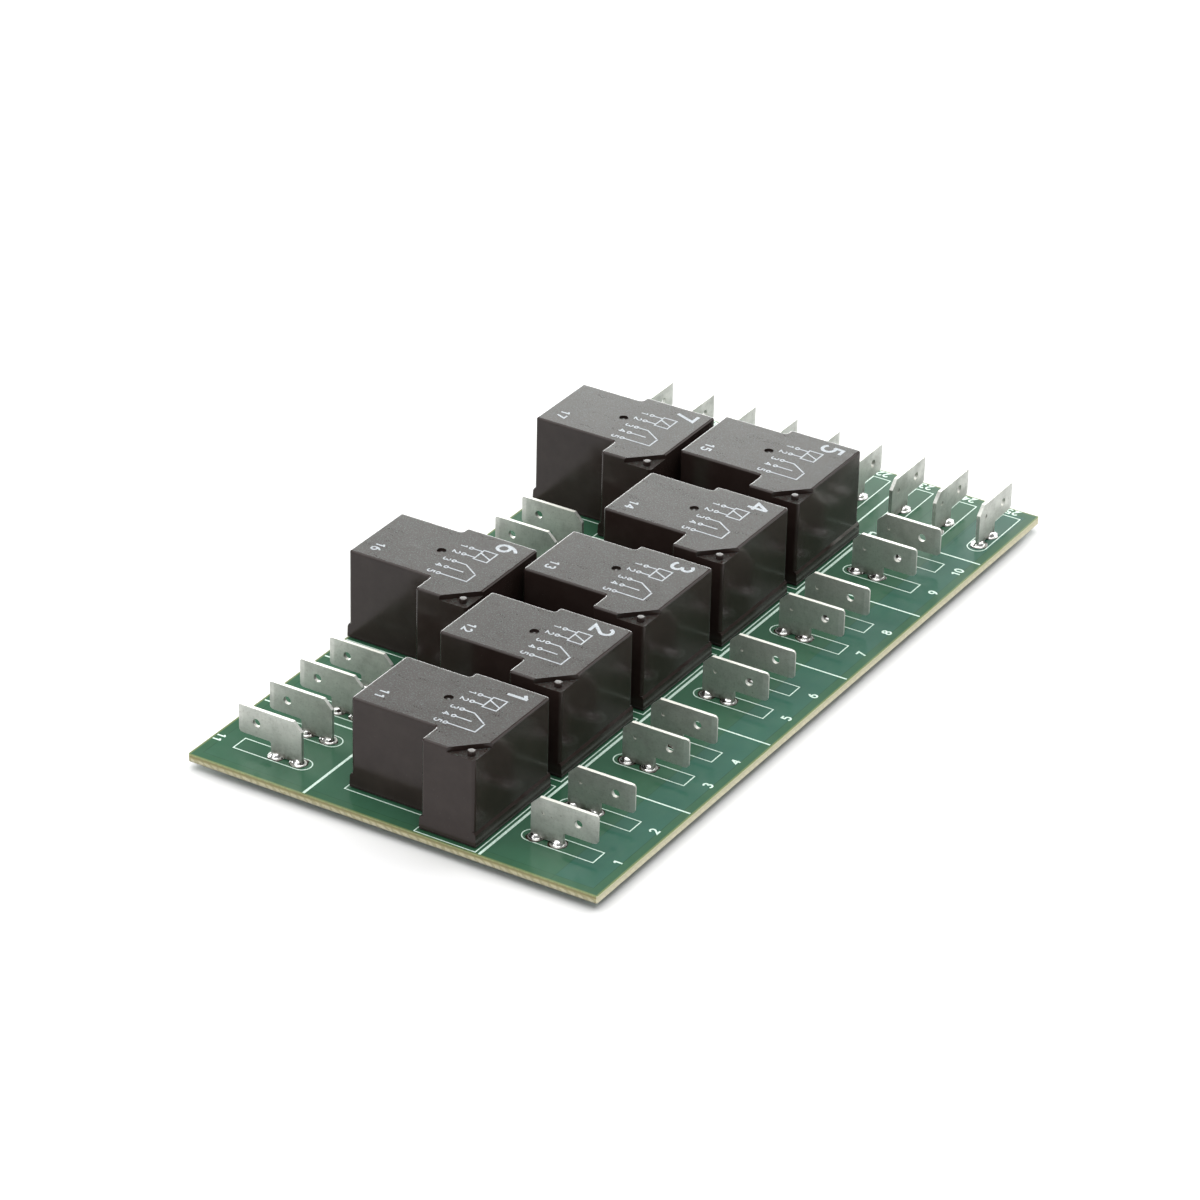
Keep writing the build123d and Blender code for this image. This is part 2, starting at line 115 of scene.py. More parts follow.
class Shape:
    """Vertices and faces of one piece, gathered in millimetres."""

    def __init__(self):
        self.points = []
        self.faces = []

    def add(self, points, faces, place=None):
        start = len(self.points)
        self.points += [place @ Vector(p) if place else Vector(p) for p in points]
        self.faces += [[start + i for i in face] for face in faces]

    def line(self, path, width, low, high, place=None, closed=False):
        """Closed slab of even width along a path of plan points, mitred at its corners."""
        sharpest_mitre = 0.4
        n = len(path)
        left, right = [], []
        for i in range(n):
            before = Vector(path[i - 1]) if i or closed else None
            after = Vector(path[(i + 1) % n]) if i < n - 1 or closed else None
            here = Vector(path[i])
            ways = [(here - before).normalized()] if before is not None else []
            ways += [(after - here).normalized()] if after is not None else []
            way = sum(ways, Vector((0, 0))).normalized()
            side = Vector((-way.y, way.x))
            reach = width / 2 / max(sharpest_mitre, way.dot(ways[0]))
            left.append(here + side * reach)
            right.append(here - side * reach)
        points = []
        for a, b in zip(left, right):
            points += [(b.x, b.y, low), (a.x, a.y, low), (a.x, a.y, high), (b.x, b.y, high)]
        faces = []
        for i in range(n if closed else n - 1):
            a, b = 4 * i, 4 * ((i + 1) % n)
            for k in range(4):
                m = (k + 1) % 4
                faces.append([a + k, a + m, b + m, b + k])
        if not closed:
            faces += [[3, 2, 1, 0], [4 * n - 4, 4 * n - 3, 4 * n - 2, 4 * n - 1]]
        self.add(points, faces, place)

    def piece(self, name, material, slot, smooth=False):
        """The object made of what was gathered, riding on the part's body."""
        mesh = bpy.data.meshes.new(name)
        mesh.from_pydata([p * MM for p in self.points], [], self.faces)
        mesh.validate()
        mesh.materials.append(material)
        for polygon in mesh.polygons:
            polygon.use_smooth = smooth
        made = bpy.data.objects.new(name, mesh)
        bpy.context.scene.collection.objects.link(made)
        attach(made, "root")
        return made


def seat(x, y, z=0.0, degrees=0.0):
    """A place turned about the upright axis."""
    return Matrix.Translation((x, y, z)) @ Matrix.Rotation(math.radians(degrees), 4, "Z")


def relay_seat(number):
    """A relay's place: its coil end and near side at the board's top."""
    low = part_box(f"relay_{number}_cover")[0] / MM
    return seat(low.x + foot_flare, low.y + near_step, board_top)


def blade_seat(name):
    """A blade's place: its solder end on the board's top, turned to its tab's way."""
    low, high = (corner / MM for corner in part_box(name))
    middle = (low + high) / 2
    if "right" in name:
        return seat(low.x, middle.y, board_top)
    if "left" in name:
        return seat(high.x, middle.y, board_top, 180)
    return seat(middle.x, low.y, board_top, 90)


def arc(middle_x, middle_y, reach_x, reach_y, start, end, steps=12):
    """Points along a stretch of an ellipse, between two angles in degrees."""
    turns = [math.radians(start + (end - start) * i / steps) for i in range(steps + 1)]
    return [(middle_x + reach_x * math.cos(a), middle_y + reach_y * math.sin(a)) for a in turns]


# Materials. Each is a Principled shader whose colour, roughness and normal come from nodes.
class Paint:
    """A material and short ways to add nodes to it. Its coordinates are the object's, in metres."""

    def __init__(self, name, **sockets):
        self.material = bpy.data.materials.new(name)
        self.material.use_nodes = True
        self.nodes = self.material.node_tree.nodes
        self.links = self.material.node_tree.links
        self.shader = self.nodes["Principled BSDF"]
        for key, value in sockets.items():
            self.shader.inputs[key.replace("_", " ")].default_value = value
        self.place = self.nodes.new("ShaderNodeTexCoord").outputs["Object"]

    def stretched(self, x, y, z):
        """The coordinates with each axis scaled."""
        node = self.nodes.new("ShaderNodeMapping")
        node.inputs["Scale"].default_value = (x, y, z)
        self.links.new(self.place, node.inputs["Vector"])
        return node.outputs["Vector"]

    def noise(self, scale, detail=3.0, rough=0.55, vector=None, distortion=0.0):
        node = self.nodes.new("ShaderNodeTexNoise")
        node.inputs["Scale"].default_value = scale
        node.inputs["Detail"].default_value = detail
        node.inputs["Roughness"].default_value = rough
        node.inputs["Distortion"].default_value = distortion
        self.links.new(vector or self.place, node.inputs["Vector"])
        return node.outputs["Fac"]

    def waves(self, direction, scale, distortion, detail=2.0, detail_scale=1.0):
        """Bands across a direction, bent by noise."""
        node = self.nodes.new("ShaderNodeTexWave")
        node.bands_direction = direction
        node.inputs["Scale"].default_value = scale
        node.inputs["Distortion"].default_value = distortion
        node.inputs["Detail"].default_value = detail
        node.inputs["Detail Scale"].default_value = detail_scale
        self.links.new(self.place, node.inputs["Vector"])
        return node.outputs["Fac"]

    def cells(self, scale):
        """Distance to the nearest of many scattered points."""
        node = self.nodes.new("ShaderNodeTexVoronoi")
        node.inputs["Scale"].default_value = scale
        self.links.new(self.place, node.inputs["Vector"])
        return node.outputs["Distance"]

    def ramp(self, value, *stops):
        """Colour ramp through stops of place and colour or grey."""
        node = self.nodes.new("ShaderNodeValToRGB")
        elements = node.color_ramp.elements
        while len(elements) < len(stops):
            elements.new(0.5)
        for element, (at, tone) in zip(elements, stops):
            element.position = at
            element.color = (tone, tone, tone, 1) if isinstance(tone, float) else (*tone, 1)
        self.links.new(value, node.inputs["Fac"])
        return node.outputs["Color"]

    def between(self, value, low, high, start, end):
        """Map Range of a value."""
        node = self.nodes.new("ShaderNodeMapRange")
        limits = zip(("From Min", "From Max", "To Min", "To Max"), (low, high, start, end))
        for key, number in limits:
            node.inputs[key].default_value = number
        self.links.new(value, node.inputs["Value"])
        return node.outputs["Result"]

    def math(self, operation, a, b):
        node = self.nodes.new("ShaderNodeMath")
        node.operation = operation
        for socket, value in zip(node.inputs, (a, b)):
            if isinstance(value, (int, float)):
                socket.default_value = value
            else:
                self.links.new(value, socket)
        return node.outputs["Value"]

    def size_of(self, value):
        """The value without its sign."""
        return self.math("ABSOLUTE", value, 0.0)

    def stripe(self, value, middle, reach, strength):
        """A soft line where a value in metres is near a place in millimetres."""
        off = self.size_of(self.math("SUBTRACT", value, middle * MM))
        return self.between(off, 0.0, reach * MM, strength, 0.0)

    def mix(self, factor, a, b):
        node = self.nodes.new("ShaderNodeMix")
        node.data_type = "RGBA"
        for key, value in zip(("Factor_Float", "A_Color", "B_Color"), (factor, a, b)):
            socket = next(s for s in node.inputs if s.identifier == key)
            if isinstance(value, tuple):
                socket.default_value = (*value, 1)
            else:
                self.links.new(value, socket)
        return next(s for s in node.outputs if s.identifier == "Result_Color")

    def axis(self, source, index):
        """One of the three numbers of a vector."""
        node = self.nodes.new("ShaderNodeSeparateXYZ")
        self.links.new(source, node.inputs["Vector"])
        return node.outputs[index]

    def normal(self):
        return self.nodes.new("ShaderNodeNewGeometry").outputs["Normal"]

    def bump(self, *layers):
        """Bump from layers of height, strength and distance in millimetres, one over another."""
        under = None
        for height, strength, distance in layers:
            node = self.nodes.new("ShaderNodeBump")
            node.inputs["Strength"].default_value = strength
            node.inputs["Distance"].default_value = distance * MM
            self.links.new(height, node.inputs["Height"])
            if under:
                self.links.new(under, node.inputs["Normal"])
            under = node.outputs["Normal"]
        self.links.new(under, self.shader.inputs["Normal"])

    def use(self, **sockets):
        """Links the finished values to the shader and gives the material."""
        for key, output in sockets.items():
            self.links.new(output, self.shader.inputs[key.replace("_", " ")])
        return self.material


def mask_faces(paint, inset, from_middle_x, weave):
    """Colour of the mask over bare laminate and over copper, and the gaps in that copper."""
    pour_inset, pour_fade = 2.2, 0.15
    pour_side, side_fade = 37.2, 0.1
    rim_gap_middle, gap_reach = pour_inset + 0.05, 0.16
    far_gap_reach, far_gap_core = 0.3, 0.1
    far_row_foot, far_row_fade = 67.5, 0.5
    thin_rim_start, thin_rim_end = 0.1, 0.55
    across = paint.axis(paint.place, 0)
    cloud = paint.noise(60, 4)
    bare = paint.ramp(cloud, (0.3, (0.026, 0.083, 0.042)), (0.7, (0.037, 0.108, 0.057)))
    copper = paint.ramp(cloud, (0.3, (0.023, 0.086, 0.060)), (0.7, (0.032, 0.110, 0.078)))
    covered = paint.between(inset, pour_inset * MM, (pour_inset + pour_fade) * MM, 0.0, 1.0)
    tabs_start, tabs_end = (pour_side - side_fade) * MM, (pour_side + side_fade) * MM
    under_tabs = paint.between(across, tabs_start, tabs_end, 0.2, 1.0)
    mask = paint.mix(paint.math("MULTIPLY", covered, under_tabs), bare, copper)
    rim_gap = paint.stripe(inset, rim_gap_middle, gap_reach, 0.45)
    pour_gap = paint.stripe(across, pour_side, gap_reach, 0.4)
    half_pitch = far_pitch / 2
    along = paint.math("PINGPONG", from_middle_x, half_pitch * MM)
    gap_start, gap_end = (half_pitch - far_gap_reach) * MM, (half_pitch - far_gap_core) * MM
    far_gap = paint.between(along, gap_start, gap_end, 0.0, 0.3)
    far_start, far_end = far_row_foot * MM, (far_row_foot + far_row_fade) * MM
    at_far_end = paint.between(paint.axis(paint.place, 1), far_start, far_end, 0.0, 1.0)
    gaps = paint.math("MAXIMUM", rim_gap, paint.math("MULTIPLY", far_gap, at_far_end))
    gaps = paint.math("MAXIMUM", gaps, pour_gap)
    mask = paint.mix(gaps, mask, (0.010, 0.036, 0.022))
    mask = paint.mix(paint.between(weave, 0.35, 0.65, 0.0, 0.25), mask, (0.034, 0.108, 0.066))
    thinned = paint.between(inset, thin_rim_start * MM, thin_rim_end * MM, 0.75, 0.0)
    return paint.mix(thinned, mask, (0.24, 0.27, 0.11)), gaps


def cut_edge(paint):
    """Colour of the sawn laminate: bands of tone through its thickness, its pale lower band partly
    painted floor light, fibres, and the edges facing along X painted paler as if lit.
    """
    # Bands of tone through the thickness, darker at the very bottom; the pale band below the middle is
    # partly the laminate's cream and partly painted light from the floor.
    layer = paint.between(paint.axis(paint.place, 2), board_foot * MM, board_top * MM, 0.0, 1.0)
    edge = paint.ramp(
        layer,
        (0.0, (0.22, 0.21, 0.16)),
        (0.10, (0.42, 0.40, 0.29)),
        (0.34, (0.56, 0.53, 0.36)),
        (0.52, (0.44, 0.41, 0.24)),
        (0.66, (0.24, 0.21, 0.09)),
        (0.82, (0.21, 0.20, 0.08)),
        (0.93, (0.34, 0.38, 0.18)),
        (1.0, (0.17, 0.24, 0.10)),
    )
    fibres = paint.noise(1.0, 3, vector=paint.stretched(220, 220, 3600), distortion=0.5)
    edge = paint.mix(paint.between(fibres, 0.35, 0.7, 0.0, 0.45), edge, (0.26, 0.23, 0.11))
    twill = paint.waves("DIAGONAL", 330, 5.0, 3.0, 2.0)
    edge = paint.mix(paint.between(twill, 0.45, 0.8, 0.0, 0.5), edge, (0.22, 0.20, 0.10))
    # Painted light: the edges facing along X are coloured paler, as if more brightly lit.
    painted_lit_sides = paint.size_of(paint.axis(paint.normal(), 0))
    return paint.mix(paint.between(painted_lit_sides, 0.4, 0.6, 0.0, 0.55), edge, (0.80, 0.76, 0.56))


def make_mask():
    """Green solder mask on both faces of the laminate, with the cut laminate at its edges."""
    paint = Paint("solder_mask", IOR=1.5)
    from_middle = [paint.size_of(paint.axis(paint.place, axis)) for axis in (0, 1)]
    from_edges = [
        paint.math("SUBTRACT", board_high[axis] * MM, from_middle[axis]) for axis in (0, 1)
    ]
    inset = paint.math("MINIMUM", *from_edges)
    weave = paint.noise(900, 2, vector=paint.stretched(1, 0.18, 1))
    mask, gaps = mask_faces(paint, inset, from_middle[0], weave)
    flat = paint.between(paint.size_of(paint.axis(paint.normal(), 2)), 0.4, 0.6, 0.0, 1.0)
    gloss = paint.between(paint.noise(140, 5), 0.3, 0.75, 0.10, 0.20)
    paint.bump((weave, 0.12, 0.03), (paint.noise(35, 2), 0.25, 0.1), (gaps, 0.3, -0.035))
    return paint.use(
        Base_Color=paint.mix(flat, cut_edge(paint), mask),
        Roughness=paint.mix(flat, (0.75, 0.75, 0.75), gloss),
    )


def make_pour():
    """Solder mask over the underside's copper tracks: a little lighter than over bare laminate."""
    paint = Paint("mask_over_copper", IOR=1.5)
    cloud = paint.noise(80, 4)
    colour = paint.ramp(cloud, (0.3, (0.030, 0.105, 0.056)), (0.7, (0.044, 0.135, 0.075)))
    gloss = paint.between(paint.noise(150, 5), 0.3, 0.75, 0.12, 0.24)
    paint.bump((paint.noise(400, 3), 0.1, 0.03), (paint.noise(35, 2), 0.25, 0.1))
    return paint.use(Base_Color=colour, Roughness=gloss)


def make_housing():
    """Black moulded housing: smooth sides, a spark-eroded grain on top whose specks on the roof are
    painted lighter as glints, faint wipes and dust.
    """
    paint = Paint("housing_plastic", IOR=1.37)
    grain = paint.noise(3300, 2, 0.6)
    patches = paint.noise(220, 4)
    wipes = paint.noise(500, 3, vector=paint.stretched(0.25, 1, 1), distortion=0.6)
    roof = paint.between(paint.axis(paint.normal(), 2), 0.975, 0.9985, 0.0, 1.0)
    colour = paint.ramp(patches, (0.3, (0.0205, 0.0130, 0.0112)), (0.7, (0.0270, 0.0184, 0.0160)))
    # Painted glints: specks of the grain on the roof's upward faces are coloured lighter, as if
    # catching the light.
    painted_roof_glints = paint.math("MULTIPLY", paint.between(grain, 0.50, 0.72, 0.0, 1.0), roof)
    colour = paint.mix(painted_roof_glints, colour, (0.068, 0.089, 0.082))
    dust = paint.ramp(paint.cells(650), (0.0, 1.0), (0.05, 0.25), (0.09, 0.0))
    dust = paint.math("MULTIPLY", dust, paint.between(paint.noise(170, 2), 0.5, 0.66, 0.0, 0.6))
    colour = paint.mix(dust, colour, (0.11, 0.105, 0.098))
    satin = paint.between(wipes, 0.3, 0.7, 0.13, 0.19)
    satin = paint.math("ADD", satin, paint.between(grain, 0.3, 0.7, -0.02, 0.03))
    satin = paint.math("ADD", satin, paint.math("MULTIPLY", roof, 0.145))
    pits = paint.math("MULTIPLY", grain, paint.between(roof, 0.0, 1.0, 0.35, 1.0))
    paint.bump((patches, 0.10, 0.04), (pits, 0.5, 0.024))
    return paint.use(Base_Color=colour, Roughness=satin)


def make_cut_plastic():
    """Rough pale face where the vent nib was cut and the gate broken off."""
    paint = Paint("cut_plastic", IOR=1.5)
    torn = paint.noise(3000, 4)
    colour = paint.ramp(torn, (0.3, (0.10, 0.098, 0.094)), (0.7, (0.24, 0.235, 0.228)))
    rough = paint.between(torn, 0.3, 0.7, 0.5, 0.8)
    paint.bump((torn, 0.5, 0.05))
    return paint.use(Base_Color=colour, Roughness=rough)


def make_tin():
    """Dull tin plate on rolled brass: stippled faces, upward-facing top edges painted whiter as a
    highlight, stained feet.
    """
    paint = Paint("tin_plate", Metallic=0.86)
    rolled = paint.noise(1.0, 4, 0.6, vector=paint.stretched(300, 300, 5200))
    blotch = paint.noise(260, 5, 0.6)
    stipple = paint.noise(2100, 3, 0.65)
    colour = paint.ramp(
        blotch,
        (0.28, (0.36, 0.37, 0.34)),
        (0.5, (0.48, 0.495, 0.46)),
        (0.75, (0.58, 0.59, 0.55)),
    )
    colour = paint.mix(paint.between(rolled, 0.3, 0.7, 0.0, 0.2), colour, (0.70, 0.71, 0.67))
    colour = paint.mix(paint.between(stipple, 0.54, 0.72, 0.0, 0.5), colour, (0.34, 0.34, 0.31))
    specks = paint.ramp(paint.cells(520), (0.0, 1.0), (0.06, 0.6), (0.12, 0.0))
    grouped = paint.between(paint.noise(240, 2), 0.52, 0.62, 0.0, 0.6)
    colour = paint.mix(paint.math("MULTIPLY", specks, grouped), colour, (0.12, 0.10, 0.08))
    stain_low, stain_high = board_top + 0.6, board_top + 2.6
    foot = paint.between(paint.axis(paint.place, 2), stain_low * MM, stain_high * MM, 1.0, 0.0)
    stain = paint.between(paint.noise(900, 4), 0.35, 0.62, 0.0, 0.75)
    colour = paint.mix(paint.math("MULTIPLY", foot, stain), colour, (0.10, 0.085, 0.06))
    # Painted highlight: upward-facing top edges are coloured whiter, as if lit from above; the same
    # mask makes them a little rougher.
    highlit_top_edges = paint.between(paint.axis(paint.normal(), 2), 0.82, 0.95, 0.0, 1.0)
    colour = paint.mix(highlit_top_edges, colour, (0.76, 0.76, 0.70))
    rough = paint.between(blotch, 0.3, 0.7, 0.54, 0.38)
    rough = paint.math("ADD", rough, paint.between(stipple, 0.3, 0.7, -0.06, 0.08))
    rough = paint.math("ADD", rough, paint.math("MULTIPLY", highlit_top_edges, 0.08))
    paint.bump((rolled, 0.18, 0.02), (stipple, 0.3, 0.02))
    return paint.use(Base_Color=colour, Roughness=rough)


def make_pin():
    """Tinned pin with drawn lines along it."""
    paint = Paint("tinned_pin", Metallic=1.0)
    drawn = paint.noise(1.0, 4, vector=paint.stretched(4000, 4000, 300))
    colour = paint.ramp(drawn, (0.3, (0.50, 0.50, 0.48)), (0.7, (0.68, 0.68, 0.66)))
    rough = paint.between(drawn, 0.3, 0.7, 0.22, 0.38)
    paint.bump((drawn, 0.2, 0.02))
    return paint.use(Base_Color=colour, Roughness=rough)


def make_solder():
    """Bright solder with soft ripples and a slightly dull bloom."""
    paint = Paint("solder", Metallic=1.0)
    bloom = paint.noise(900, 4)
    colour = paint.ramp(bloom, (0.3, (0.58, 0.58, 0.57)), (0.7, (0.82, 0.82, 0.80)))
    rough = paint.between(bloom, 0.3, 0.75, 0.10, 0.26)
    paint.bump((paint.noise(800, 3), 0.5, 0.2), (bloom, 0.15, 0.04))
    return paint.use(Base_Color=colour, Roughness=rough)


def make_flux():
    """Brown glassy residue of flux round a joint."""
    paint = Paint("flux", IOR=1.52)
    pools = paint.noise(1100, 4)
    colour = paint.ramp(
        pools,
        (0.3, (0.012, 0.009, 0.006)),
        (0.6, (0.035, 0.024, 0.014)),
        (0.8, (0.06, 0.05, 0.03)),
    )
    rough = paint.between(pools, 0.3, 0.7, 0.12, 0.4)
    paint.bump((pools, 0.4, 0.08))
    return paint.use(Base_Color=colour, Roughness=rough)


def make_ink(name, light, worn):
    """Printed ink, a little thin where the screen's mesh left it."""
    paint = Paint(name, IOR=1.45)
    mesh = paint.noise(2600, 3)
    thin = paint.noise(500, 3)
    colour = paint.ramp(mesh, (0.3, worn), (0.6, light))
    colour = paint.mix(paint.between(thin, 0.45, 0.8, 0.0, 0.5), colour, worn)
    rough = paint.between(mesh, 0.3, 0.7, 0.45, 0.6)
    paint.bump((mesh, 0.25, 0.02))
    return paint.use(Base_Color=colour, Roughness=rough)


def make_iron():
    """Plated soft iron of the relays' magnets."""
    paint = Paint("soft_iron", Metallic=1.0)
    scale = paint.noise(600, 4)
    colour = paint.ramp(scale, (0.3, (0.32, 0.32, 0.31)), (0.7, (0.52, 0.51, 0.49)))
    paint.bump((scale, 0.2, 0.03))
    return paint.use(Base_Color=colour, Roughness=paint.between(scale, 0.3, 0.7, 0.3, 0.5))


def make_bobbin_plastic():
    """Pale moulded nylon of the bobbins."""
    paint = Paint("bobbin_plastic", IOR=1.5, Subsurface_Weight=0.05)
    flow = paint.noise(300, 3)
    colour = paint.ramp(flow, (0.3, (0.50, 0.45, 0.34)), (0.7, (0.62, 0.56, 0.44)))
    paint.bump((paint.noise(3000, 2), 0.2, 0.02))
    return paint.use(Base_Color=colour, Roughness=paint.between(flow, 0.3, 0.7, 0.4, 0.55))


def make_copper():
    """Enamelled copper turns and copper alloy springs."""
    paint = Paint("copper", Metallic=1.0)
    turns = paint.waves("Z", 2200, 0.4)
    colour = paint.ramp(turns, (0.2, (0.36, 0.13, 0.05)), (0.8, (0.74, 0.36, 0.18)))
    paint.bump((turns, 0.5, 0.06))
    return paint.use(Base_Color=colour, Roughness=paint.between(turns, 0.0, 1.0, 0.45, 0.25))


def make_floor_paint():
    """Plain pale floor."""
    paint = Paint("floor", IOR=1.4)
    tone = paint.ramp(paint.noise(3, 3), (0.3, (0.74, 0.74, 0.74)), (0.7, (0.76, 0.76, 0.76)))
    rough = paint.between(paint.noise(8, 3), 0.3, 0.7, 0.8, 0.9)
    return paint.use(Base_Color=tone, Roughness=rough)


housing = make_housing()
pin = make_pin()
tin = make_tin()
iron = make_iron()
copper = make_copper()
node_paints = {
    "circuit_board": make_mask(),
    "relay_yokes": iron,
    "relay_cores": iron,
    "relay_armatures": iron,
    "relay_bobbins": make_bobbin_plastic(),
    "relay_windings": copper,
    "relay_contact_springs": copper,
}
for number in relay_numbers:
    node_paints[f"relay_{number}_cover"] = housing
    node_paints[f"relay_{number}_base"] = housing
    node_paints[f"relay_{number}_pins"] = pin
for name in blade_names:
    node_paints[name] = tin
for name, material in node_paints.items():
    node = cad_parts[name]
    node.data.materials.clear()
    node.data.materials.append(material)


# Solder joints, with a pad under each and flux round those on top
bead_lift = 0.02
top_bead_radii, top_bead_height = (1.5, 1.4), 0.95
top_pad_radii, top_pad_height = (1.2, 1.72), 0.05
flux_radii, flux_low, flux_high = (1.3, 2.0), 0.01, 0.04
top_wobble, under_wobble = 0.2, 0.1
under_pad_height = 0.035
leg_bead_radii, leg_bead_height, leg_pad_radii = (1.75, 1.6), 1.25, (1.2, 2.1)
coil_bead_radii, coil_bead_height, coil_pad_radii = (1.2, 1.2), 1.3, (0.9, 1.5)
broad_bead_radii, broad_bead_height, broad_pad_radii = (1.8, 1.8), 1.4, (1.2, 2.2)
joints, pads, residue = Shape(), Shape(), Shape()


def bead(shape, x, y, radii, height, foot, place, wobble, down=False):
    """Closed bead round a leg: round on top, with a low skirt that wets the pad."""
    rings, spokes = 14, 36
    dome_share, dome_power, dome_root = 0.84, 2.8, 0.6
    skirt_height, skirt_power = 0.34 * height, 0.8
    ripple_scale, ripple_depth = 2, 0.22
    way = -1 if down else 1

    def rise(share, angle):
        dome = height * max(0.0, 1 - (share / dome_share) ** dome_power) ** dome_root
        skirt = skirt_height * (1 - share) ** skirt_power
        spot_x = ripple_scale * share * math.cos(angle) + x
        spot_y = ripple_scale * share * math.sin(angle) + y
        ripple = noise.noise(Vector((spot_x, spot_y, place.translation.y)))
        return foot + way * max(dome, skirt) * (1 + ripple_depth * ripple)

    points = []
    for ring in range(rings):
        share = 1 - ring / rings
        for spoke in range(spokes):
            angle = 2 * math.pi * spoke / spokes
            toward = Vector((math.cos(angle), math.sin(angle)))
            spot = Vector((toward.x + x, toward.y + y, place.translation.x))
            bulge = share * (1 + wobble * noise.noise(spot))
            across, along = radii[0] * bulge * toward.x, radii[1] * bulge * toward.y
            points.append((x + across, y + along, rise(share, angle)))
    points.append((x, y, rise(0, 0)))
    apex = len(points) - 1
    faces = []
    for ring in range(rings):
        for spoke in range(spokes):
            a = ring * spokes + spoke
            b = ring * spokes + (spoke + 1) % spokes
            face = [a, b, b + spokes, a + spokes] if ring < rings - 1 else [a, b, apex]
            faces.append(face[::way])
    bottom = list(range(spokes))
    faces.append(bottom[::-way])
    shape.add(points, faces, place)


def flat_ring(shape, x, y, radii, low, high, place, wobble=0.0):
    """Flat closed ring, with an uneven outer rim where wobble isn't nought."""
    inner, outer = radii
    spokes = 40
    lobe_scale = 1.5
    points = []
    for spoke in range(spokes):
        angle = 2 * math.pi * spoke / spokes
        toward = Vector((math.cos(angle), math.sin(angle)))
        lobe_x, lobe_y = toward.x * lobe_scale + x, toward.y * lobe_scale + y
        rim = outer * (1 + wobble * noise.noise(Vector((lobe_x, lobe_y, place.translation.y))))
        for reach, z in ((inner, low), (rim, low), (rim, high), (inner, high)):
            points.append((x + toward.x * reach, y + toward.y * reach, z))
    faces = []
    for spoke in range(spokes):
        a, b = 4 * spoke, 4 * ((spoke + 1) % spokes)
        for k in range(4):
            m = (k + 1) % 4
            faces.append([a + k, b + k, b + m, a + m])
    shape.add(points, faces, place)


def top_joint(x, y, place):
    """A blade leg's joint on the board's top."""
    bead(joints, x, y, top_bead_radii, top_bead_height, bead_lift, place, top_wobble)
    flat_ring(pads, x, y, top_pad_radii, 0, top_pad_height, place)
    flat_ring(residue, x, y, flux_radii, flux_low, flux_high, place, top_wobble)


def under_joint(x, y, bead_radii, height, pad_radii, place):
    """A leg's or pin's joint on the underside."""
    bead(joints, x, y, bead_radii, height, underside - bead_lift, place, under_wobble, down=True)
    flat_ring(pads, x, y, pad_radii, underside - under_pad_height, underside, place)


for name in blade_names:
    place = blade_seat(name)
    for leg in blade_legs:
        top_joint(leg, 0, place)
        under_joint(leg, 0, leg_bead_radii, leg_bead_height, leg_pad_radii, place)
for number in relay_numbers:
    place = relay_seat(number)
    for x, y in coil_pins:
        under_joint(x, y, coil_bead_radii, coil_bead_height, coil_pad_radii, place)
    for x, y in [common_pin] + contact_pins:
        under_joint(x, y, broad_bead_radii, broad_bead_height, broad_pad_radii, place)
joints.piece("solder_joints", make_solder(), "solder", smooth=True)
pads.piece("solder_pads", pin, "solder")
residue.piece("flux_residue", make_flux(), "solder_mask", smooth=True)


# Figures in strokes, one unit high and six tenths wide
figure_width = 0.6
figure_advance = 0.86
figure_strokes = {
    "0": [arc(0.3, 0.5, 0.3, 0.5, 90, 450)],
    "1": [[(0.36, 1.0), (0.36, 0.0)], [(0.08, 0.74), (0.34, 0.92)]],
    "2": [arc(0.3, 0.7, 0.28, 0.3, 165, -35) + [(0.02, 0.0), (0.6, 0.0)]],
    "3": [arc(0.28, 0.75, 0.26, 0.25, 150, -90), arc(0.28, 0.26, 0.31, 0.26, 90, -150)],
    "4": [[(0.46, 0.0), (0.46, 1.0)], [(0.43, 0.955), (0.0, 0.32), (0.64, 0.32)]],
    "5": [[(0.56, 1.0), (0.12, 1.0), (0.09, 0.52)], arc(0.28, 0.31, 0.31, 0.31, 130, -150)],
    "6": [arc(0.3, 0.3, 0.29, 0.3, 180, -180), arc(0.62, 0.3, 0.61, 0.72, 180, 110)],
    "7": [[(0.0, 1.0), (0.6, 1.0), (0.22, 0.0)]],
    "8": [arc(0.3, 0.75, 0.25, 0.25, 90, 450), arc(0.3, 0.26, 0.3, 0.26, 90, 450)],
}
figure_strokes["9"] = [
    [(figure_width - x, 1 - y) for x, y in stroke] for stroke in figure_strokes["6"]
]


def printed(shape, path, width, low, thickness, place=None, level=0):
    """Printed line, closed where it ends at its start.

    Lines that cross lie on levels of their own, so that no two tops share a plane.
    """
    touching = 0.001
    closed = math.dist(path[0], path[-1]) < touching
    top = low + thickness + level * ink_step
    shape.line(path[:-1] if closed else path, width, low, top, place, closed)


def figures(shape, number, height, weight, thickness, place):
    """A plain number in strokes, centred at a place."""
    text = str(number)
    start = -(figure_advance * (len(text) - 1) + figure_width) / 2
    for index, sign in enumerate(text):
        left = start + index * figure_advance
        for level, stroke in enumerate(figure_strokes[sign]):
            path = [((left + x) * height, (y - 0.5) * height) for x, y in stroke]
            printed(shape, path, weight, 0, thickness, place, level)


# Printed legend on the board
legend = Shape()
thin_line, medium_line, wide_line = 0.25, 0.4, 0.6


def legend_line(path, width, place=None, level=0):
    printed(legend, path, width, board_top, ink_height, place, level)


def on_board(place):
    """A seat on the board's top, brought down to nought for lines that hold their own height."""
    return place @ Matrix.Translation((0, 0, -board_top))


# A round-ended outline about each blade's joints and tab
outline_radius = 2.15
outline_start = 0.22
far_outline_reach = 16.3
side_outline_reach = 15.4
for name in blade_names:
    outline_reach = far_outline_reach if "far" in name else side_outline_reach
    path = arc(outline_start, 0, outline_radius, outline_radius, 90, 270)
    path = [(outline_reach, outline_radius)] + path + [(outline_reach, -outline_radius)]
    legend_line(path + path[:1], thin_line, on_board(blade_seat(name)))

